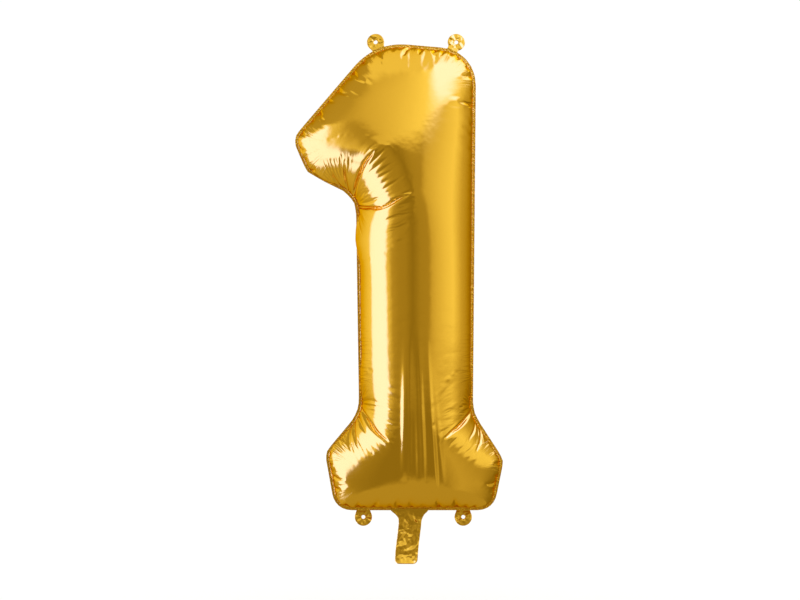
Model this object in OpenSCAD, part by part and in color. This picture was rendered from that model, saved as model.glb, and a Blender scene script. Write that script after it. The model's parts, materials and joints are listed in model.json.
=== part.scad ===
// Inflated foil balloon in the shape of the figure one.
// Two die-cut films are heat-sealed along a flat rim and hold the gas between them. Four hanging
// tabs stand on the rim, and a filling neck with a two-film valve hangs from the bottom edge.
// Millimetres, +Z up, front face towards -Y, seam plane at Y = 0, stem axis at X = 0.
// The origin lies midway between the two upper eyelets.

/* [Figure outline, to the sharp corners, with the rim] */
// Height from the bottom edge to the corner of the top edge
body_h = 864; // [700:4:1040]
// Fall of the top edge from its left corner to its right corner
top_fall = 16; // [0:1:30]
// Reach of the top edge to the left of the stem axis
crown_left = 75; // [50:1:100]
// Width of the stem below the top
stem_w = 222; // [180:1:270]
// Width of the stem where it meets the base
stem_foot_w = 210; // [170:1:255]
// Reach of the flag's tip to the left of the stem axis
flag_reach = 228; // [185:1:280]
// Depth of the flag's tip below the top
flag_drop = 179; // [140:1:220]
// Reach of the flag's blunt end at its lower corner
flag_heel_reach = 200; // [165:1:240]
// Depth of the flag's lower corner below the top
flag_heel_drop = 243; // [200:1:300]
// Depth of the elbow between flag and stem below the top
elbow_drop = 286; // [240:1:345]
// Reach of the base's left tip from the stem axis
base_left = 168; // [140:1:205]
// Reach of the base's right tip from the stem axis
base_right = 162; // [135:1:200]
// Height of the base's left tip
tip_left_h = 106; // [85:1:130]
// Height of the base's right tip
tip_right_h = 93; // [75:1:115]
// Height at which the base's shoulders meet the stem
base_h = 181; // [150:1:220]
// How far the base's lower corners stand in from its tips
base_tuck = 19; // [10:1:30]

/* [Corner rounding] */
// Radius of the top left corner
crown_left_r = 110; // [60:5:130]
// Radius of the top right corner
crown_right_r = 68; // [50:1:85]
// Radius of the flag's tip
flag_tip_r = 22; // [10:1:26]
// Radius of the flag's lower corner
flag_heel_r = 22; // [10:1:28]
// Radius of the elbow between flag and stem
elbow_r = 42; // [20:1:50]
// Radius of the base's tips
base_tip_r = 18; // [8:1:22]
// Radius of the base's shoulders
shoulder_r = 60; // [30:1:75]
// Radius of the base's lower corners
base_foot_r = 34; // [15:1:40]

/* [Film and seam] */
// Thickness of the foil film, thicker than the real film so that it is a sound solid
film_t = 0.1; // [0.05:0.05:0.3]
// Thickness of each clear film of the valve
valve_t = 0.1; // [0.05:0.05:0.2]
// Width of the heat-sealed rim
seal_w = 5; // [3:0.5:8]
// Radius of the tube that the stem inflates to, front to back
puff_r = 104; // [85:1:125]
// Radius of the tube that the flag's end inflates to, front to back
flag_puff_r = 78; // [60:1:100]

/* [Hanging tabs] */
// Radius of a tab's disc
tab_r = 16; // [13:0.5:20]
// Width of a tab's root
tab_root_w = 20; // [14:1:26]
// Radius of an eyelet hole
eyelet_r = 3.5; // [2:0.25:5]
// Distance between the two upper eyelets
top_pitch = 149; // [120:1:180]
// Distance between the two lower eyelets
bottom_pitch = 184; // [150:1:220]
// Sideways offset of the lower pair from the stem axis
bottom_offset = -5; // [-12:1:12]
// How far an eyelet stands off the edge that it is nearest to
eyelet_standoff = 12; // [9:0.5:16]

/* [Filling neck and valve] */
// Length of the neck below the bottom edge
neck_l = 97; // [75:1:120]
// Width of the neck
neck_w = 42; // [34:1:52]
// Offset of the neck from the stem axis
neck_x = -12; // [-20:1:20]
// Radius of the flare where the neck meets the bottom edge
flare_r = 22; // [12:1:28]
// Radius of the corners at the neck's mouth
mouth_r = 8; // [4:1:12]
// Width of the valve films
valve_w = 30; // [22:1:32]
// Gap between a valve film's edge and the neck's side seal
valve_side_gap = 0.5; // [0.2:0.1:1]
// Length of the valve inside the neck
valve_drop = 62; // [50:1:70]
// Length of the valve inside the body
valve_rise = 78; // [60:1:95]
// Gap left at each crease, so that a folded flap clears its root
crease_gap = 0.5; // [0.5:0.1:1]

/* [Hidden] */

GOLD = [0.83, 0.61, 0.16];
CLEAR_FILM = [0.86, 0.87, 0.84];
SMOOTH = 64;         // $fn of the round cuts and discs
ARC_STEPS = 6;       // points along each rounded corner, less one
ROWS = 56;           // rows of facets up a panel
COLUMNS = 28;        // columns of facets across a panel
EDGE_CROWDING = 0.6; // share of the facets' spacing that closes up towards the seam
MIN_R = 4;           // least radius of a corner of the bulge
FAR = 400;           // longer than any tab

// ---- Plane geometry, on [x, z] points ----

function unit(v) = v / norm(v);
function left_of(v) = [-v[1], v[0]];
function turn(a, b) = a[0] * b[1] - a[1] * b[0];
function blend(a, b, t) = a + (b - a) * t;
function total(list, i = 0, sum = 0) = i == len(list) ? sum : total(list, i + 1, sum + list[i]);

// Where the line through p along d meets the line through q along e.
function meeting(p, d, q, e) = p + d * turn(q - p, e) / turn(d, e);

function spot(corner) = [corner[0], corner[1]];
function before(c, i) = unit(spot(c[i]) - spot(c[(i + len(c) - 1) % len(c)]));
function after(c, i) = unit(spot(c[(i + 1) % len(c)]) - spot(c[i]));
function bulges(c, i) = turn(before(c, i), after(c, i)) > 0;

// The corners of a counter-clockwise outline moved inwards by d. Each corner is [x, z, radius].
function inset(c, d) = [
    for (i = [0 : len(c) - 1])
        let (
            a = before(c, i),
            b = after(c, i),
            p = meeting(spot(c[i]) + left_of(a) * d, a, spot(c[i]) + left_of(b) * d, b)
        )
        [p[0], p[1], bulges(c, i) ? max(c[i][2] - d, MIN_R) : c[i][2] + d]
];

// The arc that rounds corner i, as ARC_STEPS + 1 points.
function corner_arc(c, i) =
    let (
        a = before(c, i),
        b = after(c, i),
        side = bulges(c, i) ? 1 : -1,
        swing = acos(a * b),
        reach = c[i][2] * tan(swing / 2),
        start = spot(c[i]) - a * reach,
        centre = start + left_of(a) * c[i][2] * side
    )
    [for (k = [0 : ARC_STEPS])
        let (t = side * swing * k / ARC_STEPS, r = start - centre)
        centre + [r[0] * cos(t) - r[1] * sin(t), r[0] * sin(t) + r[1] * cos(t)]];

function rounded(c) = [for (i = [0 : len(c) - 1]) each corner_arc(c, i)];

// The stretch of a rounded outline from the middle of corner a's arc to the middle of corner b's.
function stretch(points, a, b) =
    let (n = ARC_STEPS + 1, half = ARC_STEPS / 2)
    [for (k = [a * n + half : b * n + half]) points[k % len(points)]];

// The point of a closed outline nearest to p.
function nearest_on(a, b, p) = a + (b - a) * max(0, min(1, (p - a) * (b - a) / ((b - a) * (b - a))));
function nearest(points, p) =
    let (
        found = [for (i = [0 : len(points) - 1])
            nearest_on(points[i], points[(i + 1) % len(points)], p)],
        gaps = [for (q = found) norm(q - p)]
    )
    found[search(min(gaps), gaps)[0]];

// ---- The figure's outline ----

BOTTOM_LEFT = 0; // corner numbers that the panel's grid and the sides start from
BOTTOM_RIGHT = 1;
TOP_RIGHT = 4;
TOP_LEFT = 5;
CORNERS = [
    [-(base_left - base_tuck), 0, base_foot_r],
    [base_right - base_tuck, 0, base_foot_r],
    [base_right, tip_right_h, base_tip_r],
    [stem_foot_w / 2, base_h, shoulder_r],
    [stem_w / 2, body_h - top_fall, crown_right_r],
    [-crown_left, body_h, crown_left_r],
    [-flag_reach, body_h - flag_drop, flag_tip_r],
    [-flag_heel_reach, body_h - flag_heel_drop, flag_heel_r],
    [-stem_w / 2, body_h - elbow_drop, elbow_r],
    [-stem_foot_w / 2, base_h, shoulder_r],
    [-base_left, tip_left_h, base_tip_r]
];
RIM = rounded(CORNERS);                 // outer edge of the sealed rim
ROOT = rounded(inset(CORNERS, seal_w)); // where the bulge leaves the rim

// ---- Eyelets, from the edges they stand on ----

TOP_EDGE = [for (p = stretch(RIM, TOP_RIGHT, TOP_LEFT)) p];
function edge_z(x) = lookup(x, [for (k = [len(TOP_EDGE) - 1 : -1 : 0]) TOP_EDGE[k]]);
eyelet_z = max(edge_z(-top_pitch / 2), edge_z(top_pitch / 2)) + eyelet_standoff;

EYELET_TOP_LEFT = [-top_pitch / 2, eyelet_z];
EYELET_TOP_RIGHT = [top_pitch / 2, eyelet_z];
EYELET_BOTTOM_LEFT = [bottom_offset - bottom_pitch / 2, -eyelet_standoff];
EYELET_BOTTOM_RIGHT = [bottom_offset + bottom_pitch / 2, -eyelet_standoff];

// ---- The inflated panel ----

// Height of the bulge: a harmonic mean of the distances to the edge all round, which is exactly
// a half circle across a straight tube.
function edge_share(p, a, b) =
    let (u = a - p, w = b - p, lu = norm(u), lw = norm(w))
    turn(u, w) / (lu * lw + u * w) * (1 / lu + 1 / lw);
function soft_distance(p) =
    2 / total([for (i = [0 : len(ROOT) - 1]) edge_share(p, ROOT[i], ROOT[(i + 1) % len(ROOT)])]);
function tube_r(p) = lookup(p[0], [[-flag_reach, flag_puff_r], [-stem_w / 2, puff_r]]);
function bulge_height(p) = sqrt(2 * tube_r(p) * soft_distance(p));

// Four sides of an outline as tables, and a patch of points stretched between them.
function sides(points) =
    let (
        n = len(CORNERS),
        right = stretch(points, BOTTOM_RIGHT, TOP_RIGHT),
        top = stretch(points, TOP_RIGHT, TOP_LEFT),
        left = stretch(points, TOP_LEFT, n + BOTTOM_LEFT)
    )
    [
        [for (p = stretch(points, BOTTOM_LEFT, BOTTOM_RIGHT)) p],
        [for (p = right) [p[1], p[0]]],
        [for (k = [len(top) - 1 : -1 : 0]) top[k]],
        [for (k = [len(left) - 1 : -1 : 0]) [left[k][1], left[k][0]]]
    ];
function key_at(table, t) = blend(table[0][0], table[len(table) - 1][0], t);
function along(table, t) = [key_at(table, t), lookup(key_at(table, t), table)];
function flipped(p) = [p[1], p[0]];
function patch(s, u, v) =
    let (
        bottom = along(s[0], u),
        right = flipped(along(s[1], v)),
        top = along(s[2], u),
        left = flipped(along(s[3], v)),
        b0 = s[0][0],
        b1 = s[0][len(s[0]) - 1],
        t0 = s[2][0],
        t1 = s[2][len(s[2]) - 1]
    )
    blend(bottom, top, v) + blend(left, right, u) - blend(blend(b0, b1, u), blend(t0, t1, u), v);

// A share from 0 to 1 whose steps close up towards both ends.
function spread(k, n) =
    let (t = k / n)
    EDGE_CROWDING * (1 - cos(180 * t)) / 2 + (1 - EDGE_CROWDING) * t;

RIM_SIDES = sides(RIM);
ROOT_SIDES = sides(ROOT);
pocket_w = valve_w + 2 * valve_side_gap;
passage_half_w = pocket_w / 2 + 2 * (base_left + base_right) / COLUMNS;

// The panels part by a valve film's thickness where the neck's passage goes through the rim.
function passage(p) =
    abs(p[0] - neck_x) < passage_half_w && p[1] < seal_w * 1.5 ? valve_t : 0;

// One film's inner face: row j and column i, with the rim's outer edge as the first and last.
function is_rim(i, j) = i == 0 || j == 0 || i == COLUMNS + 2 || j == ROWS + 2;
function is_root(i, j) = !is_rim(i, j) && (i == 1 || j == 1 || i == COLUMNS + 1 || j == ROWS + 1);
function plan(i, j) =
    let (
        u = spread(max(0, min(COLUMNS, i - 1)), COLUMNS),
        v = spread(max(0, min(ROWS, j - 1)), ROWS)
    )
    patch(is_rim(i, j) ? RIM_SIDES : ROOT_SIDES, u, v);
function inner_point(i, j) =
    let (p = plan(i, j), flat = is_rim(i, j) || is_root(i, j))
    [p[0], flat ? -passage(p) : -bulge_height(p), p[1]];

INNER = [for (j = [0 : ROWS + 2]) [for (i = [0 : COLUMNS + 2]) inner_point(i, j)]];

// The way from the film's inner face to its outer face.
function outwards(i, j) =
    is_rim(i, j) ? [0, -1, 0]
    : is_root(i, j) ?
        let (
            rim = INNER[j <= 1 ? 0 : j >= ROWS + 1 ? ROWS + 2 : j]
                       [i <= 1 ? 0 : i >= COLUMNS + 1 ? COLUMNS + 2 : i],
            away = unit(rim - INNER[j][i])
        )
        [away[0], -1, away[2]]
    : unit(cross(INNER[j][i + 1] - INNER[j][i - 1], INNER[j + 1][i] - INNER[j - 1][i]));

module panel() {
    outer = [for (j = [0 : ROWS + 2]) for (i = [0 : COLUMNS + 2])
        INNER[j][i] + film_t * outwards(i, j)];
    inner = [for (row = INNER) each row];
    w = COLUMNS + 3;
    h = ROWS + 3;
    n = w * h;
    edge = concat(
        [for (i = [0 : w - 2]) i],
        [for (j = [0 : h - 2]) j * w + w - 1],
        [for (i = [w - 1 : -1 : 1]) (h - 1) * w + i],
        [for (j = [h - 1 : -1 : 1]) j * w]
    );
    faces = concat(
        [for (j = [0 : h - 2]) for (i = [0 : w - 2])
            let (a = j * w + i) each [[a, a + w, a + w + 1], [a, a + w + 1, a + 1]]],
        [for (j = [0 : h - 2]) for (i = [0 : w - 2])
            let (a = n + j * w + i) each [[a, a + w + 1, a + w], [a, a + 1, a + w + 1]]],
        [for (k = [0 : len(edge) - 1])
            let (a = edge[k], b = edge[(k + 1) % len(edge)])
            each [[a, b, b + n], [a, b + n, a + n]]]
    );
    color(GOLD) polyhedron(points = concat(outer, inner), faces = faces, convexity = 6);
}

module front_panel() panel();
module back_panel() mirror([0, 1, 0]) panel();

// ---- Flat plies ----

// A flat outline in the XZ plane, t thick, with its back face at y.
module upright(t, y = 0) translate([0, y, 0]) rotate([90, 0, 0]) linear_extrude(t) children();

// One ply of a hanging tab: a disc on a short root, square to the rim that it stands on.
module tab_outline(eyelet) {
    foot = nearest(RIM, eyelet);
    stand = norm(eyelet - foot);
    lean = atan2(-(eyelet - foot)[0], (eyelet - foot)[1]);
    translate(eyelet) rotate(lean) difference() {
        union() {
            circle(r = tab_r, $fn = SMOOTH);
            translate([-tab_root_w / 2, -stand]) square([tab_root_w, stand]);
        }
        circle(r = eyelet_r, $fn = SMOOTH);
        translate([-FAR / 2, crease_gap - stand - FAR]) square(FAR);
    }
}

module tab_front_ply(eyelet) color(GOLD) upright(film_t) tab_outline(eyelet);
module tab_back_ply(eyelet) color(GOLD) upright(film_t, film_t) tab_outline(eyelet);

// The neck hangs from its crease, with a flare at the top and round corners at the mouth.
module neck_outline() {
    translate([neck_x, 0]) difference() {
        union() {
            translate([-neck_w / 2, mouth_r - neck_l]) square([neck_w, neck_l - mouth_r - crease_gap]);
            translate([mouth_r - neck_w / 2, -neck_l]) square([neck_w - 2 * mouth_r, mouth_r]);
            for (side = [-1, 1])
                translate([side * (neck_w / 2 - mouth_r), mouth_r - neck_l])
                    circle(r = mouth_r, $fn = SMOOTH);
            translate([-neck_w / 2 - flare_r, -flare_r - crease_gap])
                square([neck_w + 2 * flare_r, flare_r]);
        }
        for (side = [-1, 1])
            translate([side * (neck_w / 2 + flare_r), -flare_r - crease_gap])
                circle(r = flare_r, $fn = SMOOTH);
    }
}

// The room between the neck's plies: the valve fills its upper part, and the nozzle goes in below.
module neck_passage() translate([neck_x - pocket_w / 2, -neck_l - 1]) square([pocket_w, neck_l + 1]);

module neck_ply(side) {
    color(GOLD) difference() {
        upright(film_t + valve_t, side < 0 ? 0 : film_t + valve_t) neck_outline();
        upright(valve_t * 2, valve_t) neck_passage();
    }
}
module neck_front_ply() neck_ply(-1);
module neck_back_ply() neck_ply(1);

// A strip of valve film between two heights, in front of the seam plane or behind it.
module valve_strip(side, low, high) {
    color(CLEAR_FILM) upright(valve_t, side < 0 ? 0 : valve_t)
        translate([neck_x - valve_w / 2, low]) square([valve_w, high - low]);
}
module valve_front_film_in_neck() valve_strip(-1, -valve_drop, -crease_gap);
module valve_back_film_in_neck() valve_strip(1, -valve_drop, -crease_gap);
module valve_front_film_in_body() valve_strip(-1, 0, valve_rise);
module valve_back_film_in_body() valve_strip(1, 0, valve_rise);

// ---- Assembly ----

translate([0, 0, -eyelet_z]) {
    front_panel();
    back_panel();
    neck_front_ply();
    neck_back_ply();
    valve_front_film_in_neck();
    valve_back_film_in_neck();
    valve_front_film_in_body();
    valve_back_film_in_body();
    tab_front_ply(EYELET_TOP_LEFT);  // tab_top_left_front_ply
    tab_back_ply(EYELET_TOP_LEFT);  // tab_top_left_back_ply
    tab_front_ply(EYELET_TOP_RIGHT);  // tab_top_right_front_ply
    tab_back_ply(EYELET_TOP_RIGHT);  // tab_top_right_back_ply
    tab_front_ply(EYELET_BOTTOM_LEFT);  // tab_bottom_left_front_ply
    tab_back_ply(EYELET_BOTTOM_LEFT);  // tab_bottom_left_back_ply
    tab_front_ply(EYELET_BOTTOM_RIGHT);  // tab_bottom_right_front_ply
    tab_back_ply(EYELET_BOTTOM_RIGHT);  // tab_bottom_right_back_ply
}
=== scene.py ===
import json
import math

import bpy
import numpy as np
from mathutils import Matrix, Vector
from mathutils.geometry import delaunay_2d_cdt

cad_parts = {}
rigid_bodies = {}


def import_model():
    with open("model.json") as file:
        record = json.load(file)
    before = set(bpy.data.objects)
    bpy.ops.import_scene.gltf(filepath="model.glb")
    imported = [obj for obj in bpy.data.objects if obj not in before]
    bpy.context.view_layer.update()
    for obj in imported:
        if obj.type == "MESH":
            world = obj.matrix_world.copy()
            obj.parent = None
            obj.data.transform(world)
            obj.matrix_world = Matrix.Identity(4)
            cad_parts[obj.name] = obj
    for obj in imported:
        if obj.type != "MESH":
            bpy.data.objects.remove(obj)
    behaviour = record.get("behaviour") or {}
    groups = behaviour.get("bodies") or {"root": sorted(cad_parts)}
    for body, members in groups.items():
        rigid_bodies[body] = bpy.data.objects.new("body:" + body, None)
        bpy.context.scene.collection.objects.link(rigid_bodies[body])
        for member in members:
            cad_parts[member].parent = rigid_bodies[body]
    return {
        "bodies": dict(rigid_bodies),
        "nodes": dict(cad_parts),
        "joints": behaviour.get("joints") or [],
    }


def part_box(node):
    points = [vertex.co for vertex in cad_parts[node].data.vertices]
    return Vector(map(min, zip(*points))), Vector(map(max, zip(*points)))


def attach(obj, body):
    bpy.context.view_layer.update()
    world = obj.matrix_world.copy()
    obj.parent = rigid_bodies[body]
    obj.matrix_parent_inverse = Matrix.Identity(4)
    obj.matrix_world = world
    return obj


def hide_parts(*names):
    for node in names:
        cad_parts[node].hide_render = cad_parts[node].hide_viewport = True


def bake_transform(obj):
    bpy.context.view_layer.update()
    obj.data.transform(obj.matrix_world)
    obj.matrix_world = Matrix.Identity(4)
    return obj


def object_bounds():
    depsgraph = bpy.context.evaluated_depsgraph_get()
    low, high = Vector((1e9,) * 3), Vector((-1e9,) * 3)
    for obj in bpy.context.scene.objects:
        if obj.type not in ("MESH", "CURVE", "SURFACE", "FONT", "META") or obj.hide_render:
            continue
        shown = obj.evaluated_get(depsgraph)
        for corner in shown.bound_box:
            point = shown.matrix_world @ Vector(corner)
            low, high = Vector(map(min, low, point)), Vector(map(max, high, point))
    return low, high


# The balloon is made as the real one is: two films are cut to a flat pattern, sealed round
# the edge and blown up. The pattern is recut until the blown-up seam meets the frame's outline.
# Flat points are (x, z) in the seam plane, and all lengths are in metres.

# Pattern
SEAL = 0.005              # width of the sealed margin outside the seam
FIRST_GROWTH = 0.052      # how much wider than the outline the first pattern is, all round
GROWTH_STEPS = 14         # steps short enough for the outline's hollow corners not to cross
SPACING = 0.011           # between the coarse mesh's points
UNEVEN = 0.12             # unevenness of the points' places, as a share of their spacing
FIRST_STEPS = 900         # steps that the first pattern takes to blow up
RECUTS = 7                # times that the pattern is recut to meet the outline
RECUT_STEPS = 250         # steps that it then takes each time
RECUT_MOST = 0.012        # furthest that one recut moves the seam
RECUT_SHARE = 0.7         # share of the misfit that one recut takes away

# Film, against a gas pressure of 1
STIFF = 18.0              # stretching
RIM_STIFF = 1.0           # bending of the sealed margin's edges, in any direction
BEND = 4.6e-9             # bending while the mesh is coarse
FINE_BEND = 2.0e-9        # bending once the mesh is fine enough for the film's own ripples
FINEST_BEND = 5e-10       # bending where the film is gathered
GATHERED = (0.105, 0.07, 0.07)    # reach of the ripples round the three hollow corners
EASE = 0.03               # extra film eased in round those corners
EASE_START = 0.008        # how far from a corner the extra film begins
EASE_RAMP = 0.03          # and over what length it comes in
SEED = 11

# Folds and pleats added to the blown-up film
PLEAT_REACH = 0.036       # how far in from the seam its finest pleats run
PLEAT_DEPTH = 0.0022
PLEATS = 210.0            # pleats in a metre of seam
PLEAT_LENGTHENED = 0.12   # how slowly a pleat's shape changes inwards, against along the seam
FOLDS = np.linspace(-0.012, 0.046, 9)     # the base's upright folds, to the side of the neck
FOLD_START = (0.03, 0.06)                 # least and most: how far above the bottom they start
FOLD_LENGTH = (0.16, 0.36)
FOLD_WIDTH = (0.0036, 0.0058)
FOLD_HEIGHT = (0.001, 0.0036)
FOLD_ASIDE = 0.003                        # how far they are out of their even spacing

# Small pieces
PLY = 0.0001              # thickness of one film
MARGIN_GAP = 0.00025      # half the gap between the rim's two plies, where the valve passes
TAB_HOLD = 0.011          # how far round a tab's hinge the rim is kept flat
NECK_HOLD = 0.028         # and round the neck's
TAB_TILT = 0.28           # how steeply the tabs lean, their outer ends up or down
TAB_SPACING = 0.0011      # between the points of a tab's mesh
TAB_CRUMPLES = ((0.008, 0.0011), (0.0035, 0.0004))     # size of the facets, and their height
TAB_LOOSE = 0.008         # how far from its hinge a tab is crumpled and parted in full
TAB_PARTED = 0.0002       # how far each of its plies then stands off
EYELET_RAYS = 7           # creases round an eyelet
RAY_HEIGHT = 0.0003       # their height, where they are highest
RAY_PLACE = (0.008, 0.004)       # how far from the eyelet's middle that is, and how far they run
TUCK = 0.0045             # how far a tab's or the neck's root runs in behind the rim
TAB_ROOT, NECK_ROOT = 0.004, 0.003    # the length that is drawn in for that
NECK_SPACING = 0.0013
NECK_CRUMPLES = ((0.011, 0.0022), (0.0045, 0.0009))
NECK_LEAN = 0.018         # how far the neck's lower end has come forward
NECK_ASIDE = 0.006        # and to the left
NECK_WAVE = 0.0015        # how far the neck waves to the sides
NECK_PARTED = 0.0004      # half the gap between its plies above the mouth
MOUTH = 0.0035            # how much further each ply stands off at the neck's mouth
VALVE_SPACING = 0.002
VALVE_IN_NECK = 0.0001    # half the gap between the valve's films in the neck
VALVE_IN_BODY = 0.001     # how much further out each film is in the body
VALVE_WAVE = 0.003        # height of the waves that both films make in the body


# --- Outlines and flat patterns ------------------------------------------------------------


def loops_of(node, facing=0.5):
    """The closed loops (x, z) round a node's front-facing surface, its outer edge first."""
    corners = np.array([v.co for v in node.data.vertices]).round(6)
    ways = set()
    for face in node.data.polygons:
        if face.normal.y < -facing:
            points = [tuple(corners[v]) for v in face.vertices]
            ways.update(zip(points, points[1:] + points[:1]))
    follows = {a: b for a, b in ways if (b, a) not in ways}
    loops = []
    while follows:
        at, loop = min(follows), []
        while at in follows:
            loop.append((at[0], at[2]))
            at = follows.pop(at)
        loops.append(np.array(loop))
    loops.sort(key=lambda loop: -abs(enclosed(loop)))
    return [loop if enclosed(loop) > 0 else loop[::-1] for loop in loops]


def enclosed(loop):
    """Area inside a loop, positive if it runs anticlockwise."""
    ahead = np.roll(loop, -1, 0)
    return 0.5 * np.sum(loop[:, 0] * ahead[:, 1] - ahead[:, 0] * loop[:, 1])


def resampled(loop, spacing):
    """The loop as evenly spaced points."""
    closed = np.vstack([loop, loop[:1]])
    run = np.r_[0, np.cumsum(np.linalg.norm(np.diff(closed, axis=0), axis=1))]
    count = max(8, round(run[-1] / spacing))
    at = np.arange(count) * run[-1] / count
    return np.c_[np.interp(at, run, closed[:, 0]), np.interp(at, run, closed[:, 1])]


def outward(loop):
    """Unit normals of an anticlockwise loop, pointing out of it."""
    along = np.roll(loop, -1, 0) - np.roll(loop, 1, 0)
    along /= np.linalg.norm(along, axis=1)[:, None] + 1e-12
    return np.c_[along[:, 1], -along[:, 0]]


def smoothed(values, times):
    """Values round a loop, each averaged with its neighbours, a number of times over."""
    for _ in range(times):
        values = (np.roll(values, 1, 0) + 2 * values + np.roll(values, -1, 0)) / 4
    return values


def grown(loop, amount, spacing):
    """The loop moved outwards, and smoothed a little at each step."""
    for _ in range(GROWTH_STEPS):
        loop = resampled(loop + outward(loop) * amount / GROWTH_STEPS, spacing)
        loop = smoothed(loop, 1)
    return loop


def hollow_corners(loop):
    """The three most hollow places of a loop, as (x, z, reach), the deepest first."""
    spacing, span, apart = 0.004, 8, 0.12
    line = resampled(loop, spacing)
    along = np.roll(line, -span, 0) - np.roll(line, span, 0)
    heading = np.unwrap(np.arctan2(along[:, 1], along[:, 0]))
    turn = (np.roll(heading, -span) - np.roll(heading, span) + 3) % (2 * np.pi) - 3
    turn = smoothed(turn, 8)
    found = []
    for reach in GATHERED:
        k = turn.argmin()
        found.append((line[k, 0], line[k, 1], reach))
        turn[np.hypot(*(line - line[k]).T) < apart] = 0
    return found


def distances_in(points, loop):
    """How far each point is inside a loop, negative outside it."""
    inside = np.zeros(len(points), bool)
    nearest = np.full(len(points), np.inf)
    for a, b in zip(loop, np.roll(loop, -1, 0)):
        crosses = (a[1] > points[:, 1]) != (b[1] > points[:, 1])
        if a[1] != b[1]:
            at = (b[0] - a[0]) * (points[:, 1] - a[1]) / (b[1] - a[1]) + a[0]
            inside ^= crosses & (points[:, 0] < at)
        d = b - a
        share = np.clip((points - a) @ d / (d @ d + 1e-18), 0, 1)
        gap = np.linalg.norm(points - a - share[:, None] * d, axis=1)
        nearest = np.minimum(nearest, gap)
    return np.where(inside, nearest, -nearest)


def along_rim(points, loop):
    """How far along a loop each point is nearest to it, and its distance from there."""
    ahead = np.roll(loop, -1, 0)
    lengths = np.linalg.norm(ahead - loop, axis=1)
    runs = np.cumsum(lengths) - lengths
    nearest, run = np.full(len(points), np.inf), np.zeros(len(points))
    for a, b, length, start in zip(loop, ahead, lengths, runs):
        share = np.clip((points - a) @ (b - a) / length ** 2, 0, 1)
        gap = np.linalg.norm(points - a - share[:, None] * (b - a), axis=1)
        run = np.where(gap < nearest, start + share * length, run)
        nearest = np.minimum(gap, nearest)
    return run, nearest


def scattered(low, high, spacing, rng):
    """Points spread evenly over a rectangle, in rows that are a little irregular."""
    rows = np.arange(low[1], high[1], spacing * math.sqrt(3) / 2)
    points = []
    for k, z in enumerate(rows):
        x = np.arange(low[0], high[0], spacing) + (spacing / 2 if k % 2 else 0)
        points.append(np.c_[x, np.full(len(x), z)])
    points = np.vstack(points)
    return points + rng.uniform(-UNEVEN, UNEVEN, points.shape) * spacing


def triangulated(points, edge_counts):
    """Triangles over flat points, which start with an outer loop and then any holes' loops."""
    starts = np.cumsum([0, *edge_counts])
    loops = [list(range(a, b)) for a, b in zip(starts, starts[1:])]
    edges = [pair for loop in loops[1:] for pair in zip(loop, loop[1:] + loop[:1])]
    found = delaunay_2d_cdt([Vector(p) for p in points], edges, loops[:1], 1, 1e-7)
    triangles = np.array(found[2])
    if len(loops) > 1:
        centres = points[triangles].mean(1)
        for hole in loops[1:]:
            keep = distances_in(centres, points[hole]) < 0
            triangles, centres = triangles[keep], centres[keep]
    a, b, c = (points[triangles[:, k]] for k in range(3))
    flipped = (b - a)[:, 0] * (c - a)[:, 1] < (b - a)[:, 1] * (c - a)[:, 0]
    triangles[flipped] = triangles[flipped][:, ::-1]
    return triangles


def divided(corners, middles):
    """Triangles cut at the middles of their sides, -1 being a side that stays whole."""
    has = middles >= 0
    cuts = has.sum(1)
    a, b, c, ab, bc, ca = np.c_[corners, middles][cuts == 3].T
    made = [corners[cuts == 0], np.c_[a, ab, ca], np.c_[ab, b, bc], np.c_[ca, bc, c]]
    made.append(np.c_[ab, bc, ca])
    for turn in range(3):
        both = np.c_[np.roll(corners, -turn, 1), np.roll(middles, -turn, 1)]
        has = both[:, 3:] >= 0
        a, b, c, ab, bc, ca = both[(cuts == 1) & has[:, 0]].T
        made += [np.c_[a, ab, c], np.c_[ab, b, c]]
        a, b, c, ab, bc, ca = both[(cuts == 2) & ~has[:, 2]].T
        made += [np.c_[ab, b, bc], np.c_[a, ab, bc], np.c_[a, bc, c]]
    return np.vstack(made)


# --- Blowing up ----------------------------------------------------------------------------


def sides_of(triangles):
    """The triangles' sides, each once."""
    sides = np.vstack([triangles[:, [k, (k + 1) % 3]] for k in range(3)])
    return np.unique(np.sort(sides, axis=1), axis=0)


def shares_of(rest, triangles):
    """The flat area that belongs to each point."""
    a, b, c = (rest[triangles[:, k]] for k in range(3))
    area = abs((b - a)[:, 0] * (c - a)[:, 1] - (b - a)[:, 1] * (c - a)[:, 0]) / 2
    return np.bincount(triangles.ravel(), np.repeat(area / 3, 3), len(rest))


def bending_weights(rest, triangles):
    """Pairs of points and their cotangent weights on the flat pattern."""
    firsts, seconds, weights = [], [], []
    for k in range(3):
        a, b, c = (triangles[:, (k + n) % 3] for n in range(3))
        u, v = rest[a] - rest[c], rest[b] - rest[c]
        size = abs(u[:, 0] * v[:, 1] - u[:, 1] * v[:, 0])
        firsts.append(np.minimum(a, b))
        seconds.append(np.maximum(a, b))
        weights.append(0.5 * (u * v).sum(1) / np.maximum(size, 1e-12))
    key = np.concatenate(firsts) * len(rest) + np.concatenate(seconds)
    pairs, place = np.unique(key, return_inverse=True)
    weight = np.bincount(place.ravel(), np.concatenate(weights))
    return pairs // len(rest), pairs % len(rest), weight


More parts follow.
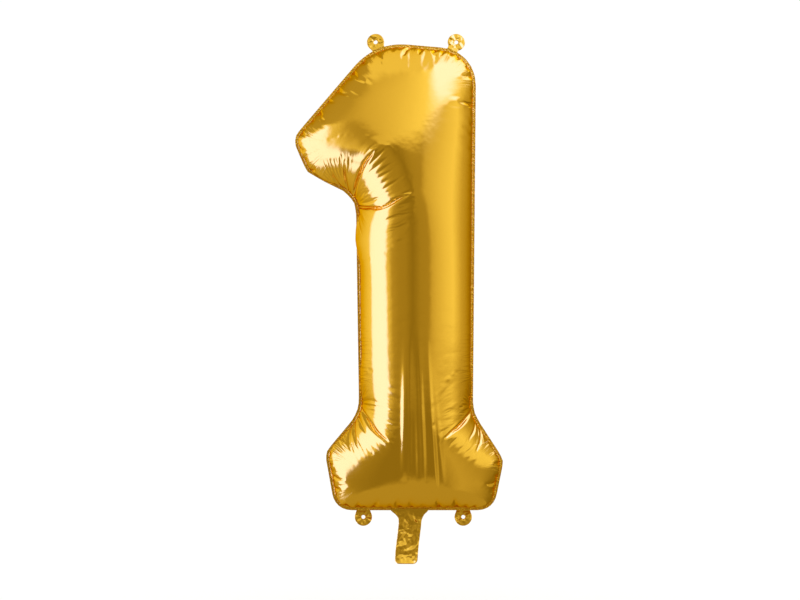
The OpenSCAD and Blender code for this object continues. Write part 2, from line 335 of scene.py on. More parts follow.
def rings_of(margin):
    """The points of the margin's two edges, each with the ones before and after it."""
    ways = np.vstack([margin[:, [k, (k + 1) % 3]] for k in range(3)])
    key, back = ways @ [1 << 32, 1], ways @ [1, 1 << 32]
    ways = ways[~np.isin(key, back)]
    ways = ways[np.argsort(ways[:, 0])]
    before = ways[np.argsort(ways[:, 1]), 0]
    closed = np.intersect1d(ways[:, 0], ways[:, 1])
    rows, cols = np.isin(ways[:, 0], closed), np.isin(np.sort(ways[:, 1]), closed)
    here, after, before = ways[rows, 0], ways[rows, 1], before[cols]
    inner = np.isin(after, here) & np.isin(before, here)
    return here[inner], before[inner], after[inner]


def place_in(sorted_values, values):
    """Where values are in a sorted array."""
    return np.minimum(np.searchsorted(sorted_values, values), len(sorted_values) - 1)


class Balloon:
    """Two films of triangles that share their seam's points, with the sealed margin outside."""

    def __init__(self, pattern, rng):
        loop = resampled(pattern, SPACING)
        inner = scattered(loop.min(0), loop.max(0), SPACING, rng)
        inner = inner[distances_in(inner, loop) > 0.62 * SPACING]
        points = np.vstack([loop, inner])
        triangles = triangulated(points, [len(loop)])
        seam, count = len(loop), len(points)
        back = np.arange(count)
        back[seam:] += count - seam
        ring, after = np.arange(seam), np.roll(np.arange(seam), -1)
        edge = 2 * count - seam + ring
        margin = np.vstack([np.c_[ring, edge, edge[after]], np.c_[ring, edge[after], after]])
        self.rest = np.vstack([points, inner, loop + outward(loop) * SEAL])
        self.parts = [triangles, back[triangles][:, ::-1], margin]
        self.seam = seam
        side = np.zeros(len(self.rest))
        side[seam:count], side[count:-seam] = -1, 1
        bulge = side * 0.002 + rng.normal(0, 0.0002, len(side))
        self.at = np.c_[self.rest[:, 0], bulge, self.rest[:, 1]]
        self.speed = np.zeros_like(self.at)
        self.held = np.zeros((len(side), 3), bool)
        self.gathers = []

    def refine(self, wanted, roughness, rng):
        """Cuts the triangles at the wanted points in four, and their neighbours to match,
        with a little unevenness for wrinkles to start from."""
        triangles = np.vstack(self.parts)
        sides = np.sort(np.vstack([triangles[:, [k, (k + 1) % 3]] for k in range(3)]), axis=1)
        edges, place = np.unique(sides, axis=0, return_inverse=True)
        cut = wanted[edges].any(1)
        middles = np.where(cut, len(self.rest) + np.cumsum(cut) - 1, -1)[place.reshape(3, -1).T]
        ends = np.cumsum([len(part) for part in self.parts])[:-1]
        self.parts = [divided(*part) for part in zip(self.parts, np.split(middles, ends))]
        pairs = edges[cut]
        self.rest = np.vstack([self.rest, self.rest[pairs].mean(1)])
        self.at = np.vstack([self.at, self.at[pairs].mean(1)])
        self.at[:, 1] += rng.normal(0, roughness, len(self.at))
        self.held = np.vstack([self.held, self.held[pairs].all(1)])
        self.at[self.held[:, 1], 1] = 0
        self.speed = np.zeros_like(self.at)

    def settle(self, steps, squeeze, drag, bend=BEND, ramp=1, only=None):
        """Moves the film towards balance between gas pressure, stretching and bending.
        Squeeze is the share of the stiffness that resists pushing together, drag the share of
        its speed that a point keeps, and ramp the steps in which the pressure comes on. Only
        is a mask of the points that move, if not all do."""
        parts = self.parts
        if only is not None:
            parts = [part[only[part].any(1)] for part in parts]
        used, place = np.unique(np.vstack(parts), return_inverse=True)
        ends = np.cumsum([len(part) for part in parts])
        triangles = place.reshape(-1, 3)
        blown, margin = triangles[: ends[1]], triangles[ends[1] :]
        rest, count = self.rest[used], len(used)
        i, j = sides_of(triangles).T
        length = np.linalg.norm(rest[i] - rest[j], axis=1)
        length *= 1 + self.easing(rest[i], rest[j])
        in_margin = np.isin(np.arange(count), margin)
        resist = np.where(in_margin[i] & in_margin[j], 0, STIFF * squeeze)
        bi, bj, weight = bending_weights(rest, blown)
        scale = bend / np.maximum(shares_of(rest, triangles), 1e-9)
        scale[np.unique(margin)] = 0          # the seam folds freely
        here, before, after = rings_of(margin)
        steepest = np.bincount(bi, abs(weight), count) + np.bincount(bj, abs(weight), count)
        meetings = np.bincount(i, minlength=count) + np.bincount(j, minlength=count)
        # Heavy enough for steps of 1 to be stable, which is all that a point's mass is for
        mass = 0.62 * STIFF * meetings + 2.4 * scale.max() * np.median(steepest) ** 2
        mass[here] += 12 * RIM_STIFF
        free = 1.0 - self.held[used].T
        if only is not None:
            free *= only[used]
        at, speed = self.at[used].T.copy(), self.speed[used].T.copy()
        for step in range(steps):
            d = at[:, j] - at[:, i]
            now = np.sqrt(d[0] * d[0] + d[1] * d[1] + d[2] * d[2])
            over = now - length
            d *= np.where(over > 0, STIFF, resist) * over / now
            p, q, r = (at[:, corner] for corner in blown.T)
            q, r = q - p, r - p
            gas = min(1, (step + 1) / ramp) / 6
            for k in range(3):
                m, n = (k + 1) % 3, (k + 2) % 3
                force = np.bincount(i, d[k], count) - np.bincount(j, d[k], count)
                push = (q[m] * r[n] - q[n] * r[m]) * gas
                for corner in blown.T:
                    force += np.bincount(corner, push, count)
                curl = weight * (at[k, bj] - at[k, bi])
                curl = (np.bincount(bi, curl, count) - np.bincount(bj, curl, count)) * scale
                curl = weight * (curl[bj] - curl[bi])
                force -= np.bincount(bi, curl, count) - np.bincount(bj, curl, count)
                turn = at[k, before] + at[k, after] - 2 * at[k, here]
                turn_before, turn_after = turn[place_in(here, before)], turn[place_in(here, after)]
                force[here] -= RIM_STIFF * (turn_before + turn_after - 2 * turn)
                speed[k] = (speed[k] + force / mass) * drag * free[k]
            at += speed
        self.at[used], self.speed[used] = at.T, speed.T

    def smooth(self, times):
        """Takes the unevenness of single triangles out of the film, not its wrinkles."""
        front, back, margin = self.parts
        i, j = sides_of(np.vstack([front, back])).T
        count = len(self.at)
        inner = ~np.isin(np.arange(count), margin)
        meetings = np.maximum(np.bincount(i, minlength=count) + np.bincount(j, minlength=count), 1)
        for share in (0.5, -0.53) * times:
            for k in range(3):
                step = self.at[j, k] - self.at[i, k]
                mean = (np.bincount(i, step, count) - np.bincount(j, step, count)) / meetings
                self.at[:, k] += share * mean * inner

    def easing(self, starts, ends):
        """How much longer than flat the film's sides are, across the gathers' rays."""
        extra = np.zeros(len(starts))
        along = ends - starts
        along /= np.linalg.norm(along, axis=1)[:, None]
        for centre, reach in self.gathers:
            ray = (starts + ends) / 2 - centre
            r = np.hypot(*ray.T)
            across = (ray[:, 0] * along[:, 1] - ray[:, 1] * along[:, 0]) / np.maximum(r, 1e-9)
            fade = np.clip((r - EASE_START) / EASE_RAMP, 0, 1)
            fade *= np.clip((reach - r) / (0.4 * reach), 0, 1)
            extra += EASE * fade * across ** 2
        return extra

    def gather(self, spots):
        """Eases extra film in round each of the spots (x, z, reach)."""
        seam = self.at[: self.seam][:, [0, 2]]
        for x, z, reach in spots:
            nearest = np.hypot(*(seam - (x, z)).T).argmin()
            self.gathers.append((self.rest[nearest], reach))

    def misfit(self, outline):
        """How far each seam point has to move outwards to meet the outline."""
        seam = self.at[: self.seam][:, [0, 2]]
        gaps = ((seam[:, None] - outline[None]) ** 2).sum(2)
        nearest = gaps.argmin(1)
        return ((outline[nearest] - seam) * outward(outline)[nearest]).sum(1)

    def spread(self):
        """Weights that carry moves of the seam's points over the whole pattern."""
        seam = self.seam
        weights = (((self.rest[:, None] - self.rest[None, :seam]) ** 2).sum(2) + 1e-5) ** -1.5
        weights /= weights.sum(1)[:, None]
        weights[:seam] = weights[-seam:] = np.eye(seam)
        return weights


def coarse_balloon(outline, anchors, rng):
    """A balloon of large triangles whose rim meets the outline. Anchors are (x, z, reach):
    places where a tab or the neck keeps the rim flat."""
    seam_line = resampled(outline, 0.004)
    seam_line = seam_line - outward(seam_line) * SEAL
    balloon = Balloon(grown(resampled(seam_line, 0.006), FIRST_GROWTH, 0.006), rng)
    seam = balloon.seam
    balloon.settle(FIRST_STEPS, squeeze=0.1, drag=0.993, ramp=50)
    spread = balloon.spread()
    for _ in range(RECUTS):
        off = np.clip(balloon.misfit(seam_line), -RECUT_MOST, RECUT_MOST)
        ways = smoothed(outward(balloon.rest[:seam]), 6)
        balloon.rest = balloon.rest + spread @ (RECUT_SHARE * smoothed(off, 12)[:, None] * ways)
        balloon.settle(RECUT_STEPS, squeeze=0.1, drag=0.985)
    fitted = fitted_to(balloon.at[:seam][:, [0, 2]], resampled(seam_line, 0.002))
    balloon.at[:, [0, 2]] += spread @ (fitted - balloon.at[:seam][:, [0, 2]])
    balloon.at[-seam:, [0, 2]] = fitted + outward(fitted) * SEAL
    balloon.at[-seam:, 1] = balloon.at[:seam, 1]
    rim = np.r_[:seam, -seam:0]
    balloon.held[rim] = True, False, True
    for x, z, reach in anchors:
        flat = np.hypot(balloon.at[rim, 0] - x, balloon.at[rim, 2] - z) < reach
        balloon.held[rim[flat], 1] = True
    balloon.at[balloon.held[:, 1], 1] = 0
    return balloon


def fitted_to(points, line):
    """The points moved onto a closed line and evened out along it."""
    run = np.arange(len(line) + 1.0)
    nearest = ((points[:, None] - line[None]) ** 2).sum(2).argmin(1)
    along = np.unwrap(nearest * 2 * np.pi / len(line)) * len(line) / (2 * np.pi)
    drift = along - np.linspace(along[0], along[0] + len(line), len(along), endpoint=False)
    along = along - drift + smoothed(drift, 6)
    closed = np.vstack([line, line[:1]])
    return np.c_[[np.interp(along % len(line), run, closed[:, k]) for k in range(2)]].T


def blown_up(outline, anchors, creased, rng):
    """The finished balloon in the outline. Creased are (x, z, reach): hollow corners where
    the film gathers in fine ripples, so that only there the mesh is made finer a third time."""
    balloon = coarse_balloon(outline, anchors, rng)
    balloon.refine(np.ones(len(balloon.rest), bool), 0.00003, rng)
    balloon.settle(400, squeeze=0.1, drag=0.985)
    balloon.refine(np.ones(len(balloon.rest), bool), 0.00002, rng)
    balloon.settle(300, squeeze=0.3, drag=0.985, bend=FINE_BEND)
    balloon.smooth(4)
    balloon.gather(creased)
    balloon.refine(near(balloon.at, creased, 0), 0.00003, rng)
    moving = near(balloon.at, creased, 0.012)
    balloon.settle(350, squeeze=0.6, drag=0.985, bend=FINEST_BEND, only=moving)
    balloon.smooth(3)
    return balloon


def near(points, spots, more):
    """Which points are within the reach of any of the spots (x, z, reach)."""
    flat = points[:, [0, 2]]
    return np.any([np.hypot(*(flat - (x, z)).T) < reach + more for x, z, reach in spots], axis=0)


# --- Small pieces --------------------------------------------------------------------------


class Crumple:
    """Heights like those of film that was crumpled: flat facets between sharp folds."""

    def __init__(self, low, high, cell, height, rng):
        self.knots = scattered(low - 3 * cell, high + 3 * cell, cell, rng)
        self.knots += rng.uniform(-0.3, 0.3, self.knots.shape) * cell
        self.level = rng.uniform(-height, height, len(self.knots))
        found = delaunay_2d_cdt([Vector(p) for p in self.knots], [], [], 0, 1e-7)
        self.facets = np.array(found[2])

    def at(self, points):
        """The heights at flat points."""
        out = np.zeros(len(points))
        for facet in self.facets:
            a, b, c = self.knots[facet]
            share = np.linalg.solve(np.array([b - a, c - a]).T, (points - a).T)
            within = (share[0] >= -1e-9) & (share[1] >= -1e-9) & (share.sum(0) <= 1 + 1e-9)
            first, second, third = self.level[facet]
            heights = first + share[0] * (second - first) + share[1] * (third - first)
            out[within] = heights[within]
        return out


def flat_piece(loops, spacing, rng):
    """Points and triangles over a flat shape with holes."""
    loops = [resampled(loop, spacing) for loop in loops]
    inner = scattered(loops[0].min(0), loops[0].max(0), spacing, rng)
    inner = inner[distances_in(inner, loops[0]) > 0.6 * spacing]
    for hole in loops[1:]:
        inner = inner[distances_in(inner, hole) < -0.6 * spacing]
    points = np.vstack([*loops, inner])
    return points, triangulated(points, [len(loop) for loop in loops])


def new_piece(name, points, triangles, material, thickness=0):
    """A smooth-shaded mesh object. With a thickness, it grows to both sides of its points."""
    mesh = bpy.data.meshes.new(name)
    mesh.vertices.add(len(points))
    mesh.vertices.foreach_set("co", np.asarray(points, np.float32).ravel())
    mesh.loops.add(3 * len(triangles))
    mesh.loops.foreach_set("vertex_index", np.asarray(triangles, np.int32).ravel())
    mesh.polygons.add(len(triangles))
    mesh.polygons.foreach_set("loop_start", np.arange(len(triangles), dtype=np.int32) * 3)
    mesh.polygons.foreach_set("use_smooth", np.ones(len(triangles), bool))
    mesh.update(calc_edges=True)
    mesh.validate()
    mesh.materials.append(material)
    piece = bpy.data.objects.new(name, mesh)
    bpy.context.scene.collection.objects.link(piece)
    if thickness:
        solid = piece.modifiers.new("thickness", "SOLIDIFY")
        solid.thickness = thickness
        solid.offset = 0
    return piece


def drawn_folds(points, middle, bottom, rng):
    """Heights of the long upright folds where the stem's pull runs out over the base. Each
    fold is highest a third of the way up, and they draw together upwards."""
    heights = np.zeros(len(points))
    for beside in FOLDS:
        start, length = rng.uniform(*FOLD_START), rng.uniform(*FOLD_LENGTH)
        up = np.clip((points[:, 2] - bottom - start) / length, 0, 1)
        line = middle + beside * (1.3 - 0.5 * up) + rng.uniform(-FOLD_ASIDE, FOLD_ASIDE)
        across = (points[:, 0] - line) / rng.uniform(*FOLD_WIDTH)
        rise = 6.75 * up * (1 - up) ** 2      # 1 at its highest
        heights += rng.uniform(*FOLD_HEIGHT) * rise * np.exp(-across ** 2)
    return heights


def pleat_strengths(points, run, depth, bottom, creased):
    """How strong the rim's fine pleats are at each point. They are weak along the bottom and
    where the mesh has ripples of its own, and left out where the run starts over."""
    strength = np.exp(-(depth / PLEAT_REACH) ** 2)
    strength[near(points, creased, -0.01)] *= 0.3
    strength *= np.clip(np.minimum(run, run.max() - run) / 0.01, 0, 1)
    return strength * np.clip((points[:, 2] - bottom - 0.015) / 0.03, 0.25, 1)


def marked(piece, name, values):
    """Gives a piece's points a value, or a vector, that its material reads."""
    vector = values.ndim > 1
    mark = piece.data.attributes.new(name, "FLOAT_VECTOR" if vector else "FLOAT", "POINT")
    mark.data.foreach_set("vector" if vector else "value", values.astype(np.float32).ravel())


def foil_skins(balloon, gold, middle, creased, rng):
    """The front and back panels, each with its ply of the sealed margin."""
    bottom = balloon.at[:, 2].min()
    pattern = balloon.rest[: balloon.seam]
    for side, name in enumerate(("front", "back")):
        margin = balloon.parts[2] if side == 0 else balloon.parts[2][:, ::-1]
        triangles = np.vstack([balloon.parts[side], margin])
        used, place = np.unique(triangles, return_inverse=True)
        points = balloon.at[used].copy()
        in_margin = np.isin(used, balloon.parts[2])
        points[:, 1] += (-1, 1)[side] * drawn_folds(points, middle, bottom, rng)
        points[in_margin, 1] += (-MARGIN_GAP, MARGIN_GAP)[side]
        piece = new_piece(f"{name}_foil", points, place.reshape(-1, 3), gold)
        run, depth = along_rim(balloon.rest[used], pattern)
        strength = pleat_strengths(points, run, depth, bottom, creased)
        marked(piece, "seal", in_margin)
        marked(piece, "rim", np.c_[run, PLEAT_LENGTHENED * depth, np.full(len(run), side)])
        marked(piece, "pleat", strength * ~in_margin)
        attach(piece, "balloon")
        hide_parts(f"{name}_panel")


def hinge_of(joint):
    """A joint's place (x, z)."""
    return np.array(joint["pos_m"])[[0, 2]]


def tab(name, joint, gold, rng):
    """A hanging tab's two plies, lightly crumpled round its eyelet, from its hinge outwards."""
    loops = loops_of(frame["nodes"][f"{name}_front_ply"])
    hinge = hinge_of(joint)
    eyelet = loops[1].mean(0)
    out = (eyelet - hinge) / np.linalg.norm(eyelet - hinge)
    outer = resampled(loops[0], 0.001)
    height = (outer - hinge) @ out
    outer = outer - np.clip(1 - height / TAB_ROOT, 0, 1)[:, None] * out * TUCK
    points, triangles = flat_piece([outer, loops[1]], TAB_SPACING, rng)
    height = (points - hinge) @ out
    loose = np.clip(height / TAB_LOOSE, 0, 1)
    reach = np.linalg.norm(points - eyelet, axis=1)
    bearing = np.arctan2(*(points - eyelet).T)
    rays = np.sin(EYELET_RAYS * bearing + rng.uniform(0, 6))
    rays *= np.exp(-((reach - RAY_PLACE[0]) / RAY_PLACE[1]) ** 2)
    corners = points.min(0), points.max(0)
    middle = sum(Crumple(*corners, *facets, rng).at(points) for facets in TAB_CRUMPLES)
    tilt = TAB_TILT * np.clip(height, 0, 1) * np.sign(out[1])
    middle = (middle + RAY_HEIGHT * rays) * loose + tilt
    for side, ply in ((-1, "front"), (1, "back")):
        y = middle + side * (0.55 * PLY + TAB_PARTED * loose)
        spots = np.c_[points[:, 0], y, points[:, 1]]
        turned = triangles if side < 0 else triangles[:, ::-1]
        piece = new_piece(f"{name}_{ply}_foil", spots, turned, gold, PLY)
        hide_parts(f"{name}_{ply}_ply")
        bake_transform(piece)
        piece.visible_glossy = False      # so that the skin shows no dark patch over its root


class Neck:
    """The filling neck's shape: crumpled, curling forwards, and parted at its mouth."""

    def __init__(self, outline, rng):
        self.top, self.bottom = outline[:, 1].max(), outline[:, 1].min()
        self.middle = (outline[:, 0].min() + outline[:, 0].max()) / 2
        corners = outline.min(0), outline.max(0) + (0, 0.02)
        self.folds, self.creases = (Crumple(*corners, *facets, rng) for facets in NECK_CRUMPLES)

    def place(self, points, side, gap):
        """Film points in space, with its plies apart by gap as well as by the mouth's opening.
        Down goes from 0 at the root to 1 at the mouth, and across from -1 to 1."""
        down = np.clip((self.top - points[:, 1]) / (self.top - self.bottom), 0, 1)
        across = (points[:, 0] - self.middle) / 0.021
        loose = np.clip(down / 0.12, 0, 1)
        y = self.folds.at(points) * (1.1 - 0.5 * down) + self.creases.at(points) * (1 - 0.6 * down)
        parted = MOUTH * np.clip((down - 0.45) / 0.55, 0, 1) ** 2 * np.clip(1 - across ** 2, 0, 1)
        y = y * loose - NECK_LEAN * down ** 2 + side * (gap + parted)
        x = points[:, 0] - NECK_ASIDE * down ** 2 + NECK_WAVE * np.sin(5 * down + 1) * loose
        return np.c_[x, y, points[:, 1]]


def neck(gold, clear, rng):
    """The neck's two plies and the valve's two clear films, each in one piece through the fold."""
    outline = loops_of(frame["nodes"]["neck_front_ply"])[0]
    shape = Neck(outline, rng)
    outer = resampled(outline, 0.0012)
    outer[:, 1] += np.clip(1 - (shape.top - outer[:, 1]) / NECK_ROOT, 0, 1) * TUCK
    points, triangles = flat_piece([outer], NECK_SPACING, rng)
    for side, ply in ((-1, "front"), (1, "back")):
        spots = shape.place(points, side, NECK_PARTED)
        turned = triangles if side < 0 else triangles[:, ::-1]
        piece = new_piece(f"neck_{ply}_foil", spots, turned, gold, PLY)
        piece.visible_glossy = False
        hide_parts(f"neck_{ply}_ply")
        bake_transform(piece)
        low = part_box(f"valve_{ply}_film_in_neck")[0]
        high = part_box(f"valve_{ply}_film_in_body")[1]
        strip = np.array([(low.x, low.z), (high.x, low.z), (high.x, high.z), (low.x, high.z)])
        film, faces = flat_piece([resampled(strip, VALVE_SPACING)], VALVE_SPACING, rng)
        spots = shape.place(film, side, VALVE_IN_NECK)
        within = np.clip((film[:, 1] - shape.top - 0.008) / 0.03, 0, 1)
        spots[:, 1] += within * (side * VALVE_IN_BODY + VALVE_WAVE * np.sin(film[:, 1] * 90))
        turned = faces if side < 0 else faces[:, ::-1]
        piece = new_piece(f"valve_{ply}_film", spots, turned, clear, PLY)
        piece.visible_glossy = False
        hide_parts(f"valve_{ply}_film_in_neck", f"valve_{ply}_film_in_body")
        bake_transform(piece)


# --- Materials -----------------------------------------------------------------------------


def node_of(tree, kind, **values):
    """A shader node with its inputs or properties set by name."""
    node = tree.nodes.new(kind)
    for name, value in values.items():
        label = name.replace("_", " ")
        if label in node.inputs:
            node.inputs[label].default_value = value
        else:
            setattr(node, name, value)
    return node


def mirror_foil(name, colour, rough, grain):
    """Metallised film under a clear laminate: a mirror with very fine unevenness, pleats that
    run in from the seam, and a crimped seal. The last two need points marked by marked()."""
    material = bpy.data.materials.new(name)
    material.use_nodes = True
    tree = material.node_tree
    link = tree.links.new
    shader = tree.nodes["Principled BSDF"]
    shader.inputs["Base Color"].default_value = (*colour, 1)
    shader.inputs["Metallic"].default_value = 1
    shader.inputs["Specular Tint"].default_value = (0.85, 0.55, 0.1, 1)
    place = node_of(tree, "ShaderNodeTexCoord")
    patches = node_of(tree, "ShaderNodeTexNoise", Scale=14.0, Detail=3.0)
    spread = node_of(tree, "ShaderNodeMapRange")
    spread.inputs["To Min"].default_value = rough * 0.75
    spread.inputs["To Max"].default_value = rough * 1.35
    link(place.outputs["Object"], patches.inputs["Vector"])
    link(patches.outputs["Fac"], spread.inputs["Value"])
    link(spread.outputs["Result"], shader.inputs["Roughness"])
    stretch = node_of(tree, "ShaderNodeMapping")
    stretch.inputs["Scale"].default_value = (0.22, 0.22, 1)
    lines = node_of(tree, "ShaderNodeTexNoise", Scale=160.0, Detail=2.0, Distortion=0.3)
    fine = node_of(tree, "ShaderNodeBump", Strength=grain, Distance=0.0006)
    link(place.outputs["Object"], stretch.inputs["Vector"])
    link(stretch.outputs["Vector"], lines.inputs["Vector"])
    link(lines.outputs["Fac"], fine.inputs["Height"])
    crimp = node_of(tree, "ShaderNodeTexVoronoi", Scale=420.0)
    seal = node_of(tree, "ShaderNodeAttribute", attribute_name="seal")
    sealed = node_of(tree, "ShaderNodeMath", operation="MULTIPLY")
    pressed = node_of(tree, "ShaderNodeBump", Strength=0.8, Distance=0.0012)
    link(place.outputs["Object"], crimp.inputs["Vector"])
    link(crimp.outputs["Distance"], sealed.inputs[0])
    link(seal.outputs["Fac"], sealed.inputs[1])
    link(sealed.outputs["Value"], pressed.inputs["Height"])
    rim = node_of(tree, "ShaderNodeAttribute", attribute_name="rim")
    pleat = node_of(tree, "ShaderNodeAttribute", attribute_name="pleat")
    gathers = node_of(tree, "ShaderNodeTexNoise", Scale=PLEATS, Detail=1.0)
    gathered = node_of(tree, "ShaderNodeMath", operation="MULTIPLY")
    pleated = node_of(tree, "ShaderNodeBump", Strength=1.0, Distance=PLEAT_DEPTH)
    link(rim.outputs["Vector"], gathers.inputs["Vector"])
    link(gathers.outputs["Fac"], gathered.inputs[0])
    link(pleat.outputs["Fac"], gathered.inputs[1])
    link(gathered.outputs["Value"], pleated.inputs["Height"])
    link(fine.outputs["Normal"], pleated.inputs["Normal"])
    link(pleated.outputs["Normal"], pressed.inputs["Normal"])
    link(pressed.outputs["Normal"], shader.inputs["Normal"])
    return material


def clear_film():
    """The valve's milky clear film."""
    material = bpy.data.materials.new("clear_film")
    material.use_nodes = True
    tree = material.node_tree
    shader = tree.nodes["Principled BSDF"]
    shader.inputs["Base Color"].default_value = (0.86, 0.87, 0.84, 1)
    shader.inputs["Alpha"].default_value = 0.45
    place = node_of(tree, "ShaderNodeTexCoord")
    haze = node_of(tree, "ShaderNodeTexNoise", Scale=60.0, Detail=4.0)
    spread = node_of(tree, "ShaderNodeMapRange")
    spread.inputs["To Min"].default_value = 0.12
    spread.inputs["To Max"].default_value = 0.34
    waves = node_of(tree, "ShaderNodeBump", Strength=0.2, Distance=0.0005)
    tree.links.new(place.outputs["Object"], haze.inputs["Vector"])
    tree.links.new(haze.outputs["Fac"], spread.inputs["Value"])
    tree.links.new(spread.outputs["Result"], shader.inputs["Roughness"])
    tree.links.new(haze.outputs["Fac"], waves.inputs["Height"])
    tree.links.new(waves.outputs["Normal"], shader.inputs["Normal"])
    return material


# --- Studio --------------------------------------------------------------------------------

# The foil mirrors a round tent. Its brightness goes in belts, each over a range of
# elevations, with values at these azimuths: 0 is in front, 90 on the balloon's +X side.
TENT_RADIUS = 2.4
AZIMUTHS = (-180, -135, -112, -66, -58, -48, -35, -20, -6, 10, 27, 34, 44, 63, 84, 108, 130, 150)
BELTS = (
    ("floor", -90, -58, (0.50,) * 18),
    ("low", -52, -12, (0.50, 0.60, 0.65, 0.50, 0.42, 0.36, 0.31, 0.31, 0.29,
                       0.29, 0.36, 0.50, 0.60, 0.50, 0.40, 0.30, 0.30, 0.30)),
    ("wall", -4, 24, (0.80, 0.85, 1.00, 1.00, 0.90, 0.50, 0.42, 0.40, 0.30,
                      0.42, 0.44, 0.66, 0.77, 0.93, 1.05, 0.65, 0.50, 0.35)),
    ("high", 30, 56, (0.50, 0.50, 0.50, 0.52, 0.55, 0.62, 0.72, 0.80, 0.88,
                      1.00, 1.15, 1.20, 1.20, 1.20, 1.20, 1.20, 1.20, 1.00)),
    ("top", 62, 90, (0.95,) * 18),
)
# Softboxes in the tent: azimuth, elevation, half widths of both, soft edge
SOFTBOXES = (
    ("left", -83, -4, 21, 26, 5),
    ("left foot", -85, -36, 12, 8, 6),
    ("high right", 94, 50, 62, 19, 18),
)
SOFTBOX = (1.4, 1.50, 3.7)        # bluish, so that gold mirrors it as cream

FLOOR_DROP = 0.12         # from the neck's lower end to the floor
FLOOR_REACH = 30          # from the middle of the floor to its edges

VIEW_HEIGHT = 1.1065      # height of the view, at the balloon
LENS, SENSOR = 120, 36    # mm
EYE_X = -0.0295
EYE_LOWERED = 0.0035      # below the balloon's middle, as a share of its height


def tent_colour(azimuth, elevation):
    """The tent's radiance in directions given in degrees."""
    levels = [level for _, low, high, _ in BELTS for level in (low, high)]
    bright = np.zeros(len(azimuth))
    for k, (_, _, _, values) in enumerate(BELTS):
        own = np.repeat(np.arange(len(BELTS)) == k, 2)
        bright += np.interp(elevation, levels, own) * np.interp(azimuth, AZIMUTHS, values, period=360)
    tint = np.c_[np.full(len(bright), 0.98), 0.65 + 0.205 * bright, 0.36 * bright]
    colour = bright[:, None] * tint       # dim cloth is warmer
    for _, at, up, wide, tall, soft in SOFTBOXES:
        past_side = abs((azimuth - at + 180) % 360 - 180) - wide
        past_top = abs(elevation - up) - tall
        inside = np.clip(0.5 - past_side / soft, 0, 1) * np.clip(0.5 - past_top / soft, 0, 1)
        inside = inside ** 2 * (3 - 2 * inside)
        colour += (np.array(SOFTBOX) - colour) * inside[:, None]
    return colour


def tent(centre, radius):
    """A round light tent that only shiny surfaces see, as the foil's surroundings."""
    azimuths, elevations = np.arange(0, 361, 2.0), np.arange(-90, 91, 2.0)
    azimuth, elevation = (grid.ravel() for grid in np.meshgrid(azimuths, elevations))
    a, e = np.radians(azimuth), np.radians(elevation)
    spots = np.c_[np.sin(a) * np.cos(e), -np.cos(a) * np.cos(e), np.sin(e)] * radius + centre
    wide = len(azimuths)
    corner = (np.arange(len(elevations) - 1)[:, None] * wide + np.arange(wide - 1)).ravel()
    faces = np.c_[corner, corner + 1, corner + wide + 1, corner + wide]
    mesh = bpy.data.meshes.new("tent")
    mesh.from_pydata(spots.tolist(), [], faces.tolist())
    glow = mesh.attributes.new("glow", "FLOAT_COLOR", "POINT")
    glow.data.foreach_set("color", np.c_[tent_colour(azimuth, elevation), np.ones(len(a))].ravel())
    material = bpy.data.materials.new("tent_cloth")
    material.use_nodes = True
    tree = material.node_tree
    tree.nodes.remove(tree.nodes["Principled BSDF"])
    shine = node_of(tree, "ShaderNodeEmission")
    cloth = node_of(tree, "ShaderNodeAttribute", attribute_name="glow")
    tree.links.new(cloth.outputs["Color"], shine.inputs["Color"])
    tree.links.new(shine.outputs["Emission"], tree.nodes["Material Output"].inputs["Surface"])
    mesh.materials.append(material)
    cover = bpy.data.objects.new("tent", mesh)
    bpy.context.scene.collection.objects.link(cover)
    cover.visible_camera = cover.visible_diffuse = False
    cover.visible_transmission = cover.visible_shadow = False


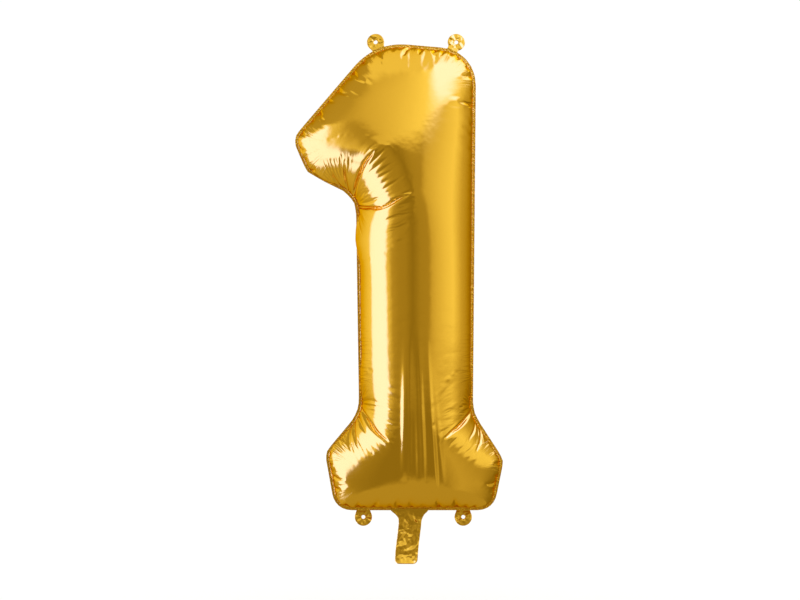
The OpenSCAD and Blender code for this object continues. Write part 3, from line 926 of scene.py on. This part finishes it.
def studio(low, high):
    """A pale floor in an evenly lit white room, with the tent for the foil to mirror."""
    centre = (low + high) / 2
    tent(np.array(centre), TENT_RADIUS)
    paint = bpy.data.materials.new("floor_paint")
    paint.use_nodes = True
    shader = paint.node_tree.nodes["Principled BSDF"]
    shader.inputs["Base Color"].default_value = (0.9, 0.9, 0.89, 1)
    shader.inputs["Roughness"].default_value = 0.95
    shader.inputs["Specular IOR Level"].default_value = 0
    shader.inputs["Emission Color"].default_value = (1, 1, 1, 1)
    shader.inputs["Emission Strength"].default_value = 0.12
    mesh = bpy.data.meshes.new("floor")
    ground, far = low.z - FLOOR_DROP, FLOOR_REACH
    mesh.from_pydata([(-far, -far, ground), (far, -far, ground), (far, far, ground),
                      (-far, far, ground)], [], [(0, 1, 2, 3)])
    mesh.materials.append(paint)
    floor = bpy.data.objects.new("floor", mesh)
    bpy.context.scene.collection.objects.link(floor)
    floor.visible_glossy = False
    world = bpy.data.worlds.new("white_room")
    world.use_nodes = True
    world.node_tree.nodes["Background"].inputs["Color"].default_value = (1, 1, 1, 1)
    world.node_tree.nodes["Background"].inputs["Strength"].default_value = 1.02
    bpy.context.scene.world = world
    bpy.context.scene.view_settings.view_transform = "Standard"


def camera(low, high):
    """Straight on, very nearly level with the balloon's middle, through a long lens."""
    distance = VIEW_HEIGHT * 800 / 600 * LENS / SENSOR
    data = bpy.data.cameras.new("camera")
    data.lens, data.sensor_width = LENS, SENSOR
    eye = bpy.data.objects.new("camera", data)
    middle = (low + high) / 2
    eye.location = (EYE_X, -distance, middle.z + (low.z - high.z) * EYE_LOWERED)
    eye.rotation_euler = (math.pi / 2, 0, 0)
    bpy.context.scene.collection.objects.link(eye)
    bpy.context.scene.camera = eye


# --- Everything ----------------------------------------------------------------------------

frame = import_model()
low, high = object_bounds()
joints = {joint["child"]: joint for joint in frame["joints"]}
tabs = [body for body in frame["bodies"] if body.startswith("tab_")]

camera(low, high)
studio(low, high)

rng = np.random.default_rng(SEED)
rim = loops_of(frame["nodes"]["front_panel"], 0.02)[0]
anchors = [(*hinge_of(joints[name]), TAB_HOLD) for name in tabs]
anchors.append((*hinge_of(joints["neck"]), NECK_HOLD))
gold = mirror_foil("gold_mirror_foil", (0.93, 0.62, 0.13), rough=0.11, grain=0.06)
creased_gold = mirror_foil("gold_creased_foil", (0.95, 0.65, 0.16), rough=0.14, grain=0.2)
creased = hollow_corners(rim)
balloon = blown_up(rim, anchors, creased, rng)
small_rng, fold_rng = np.random.default_rng(SEED + 1), np.random.default_rng(SEED + 2)
foil_skins(balloon, gold, hinge_of(joints["neck"])[0], creased, fold_rng)
for name in tabs:
    tab(name, joints[name], creased_gold, small_rng)
neck(creased_gold, clear_film(), small_rng)
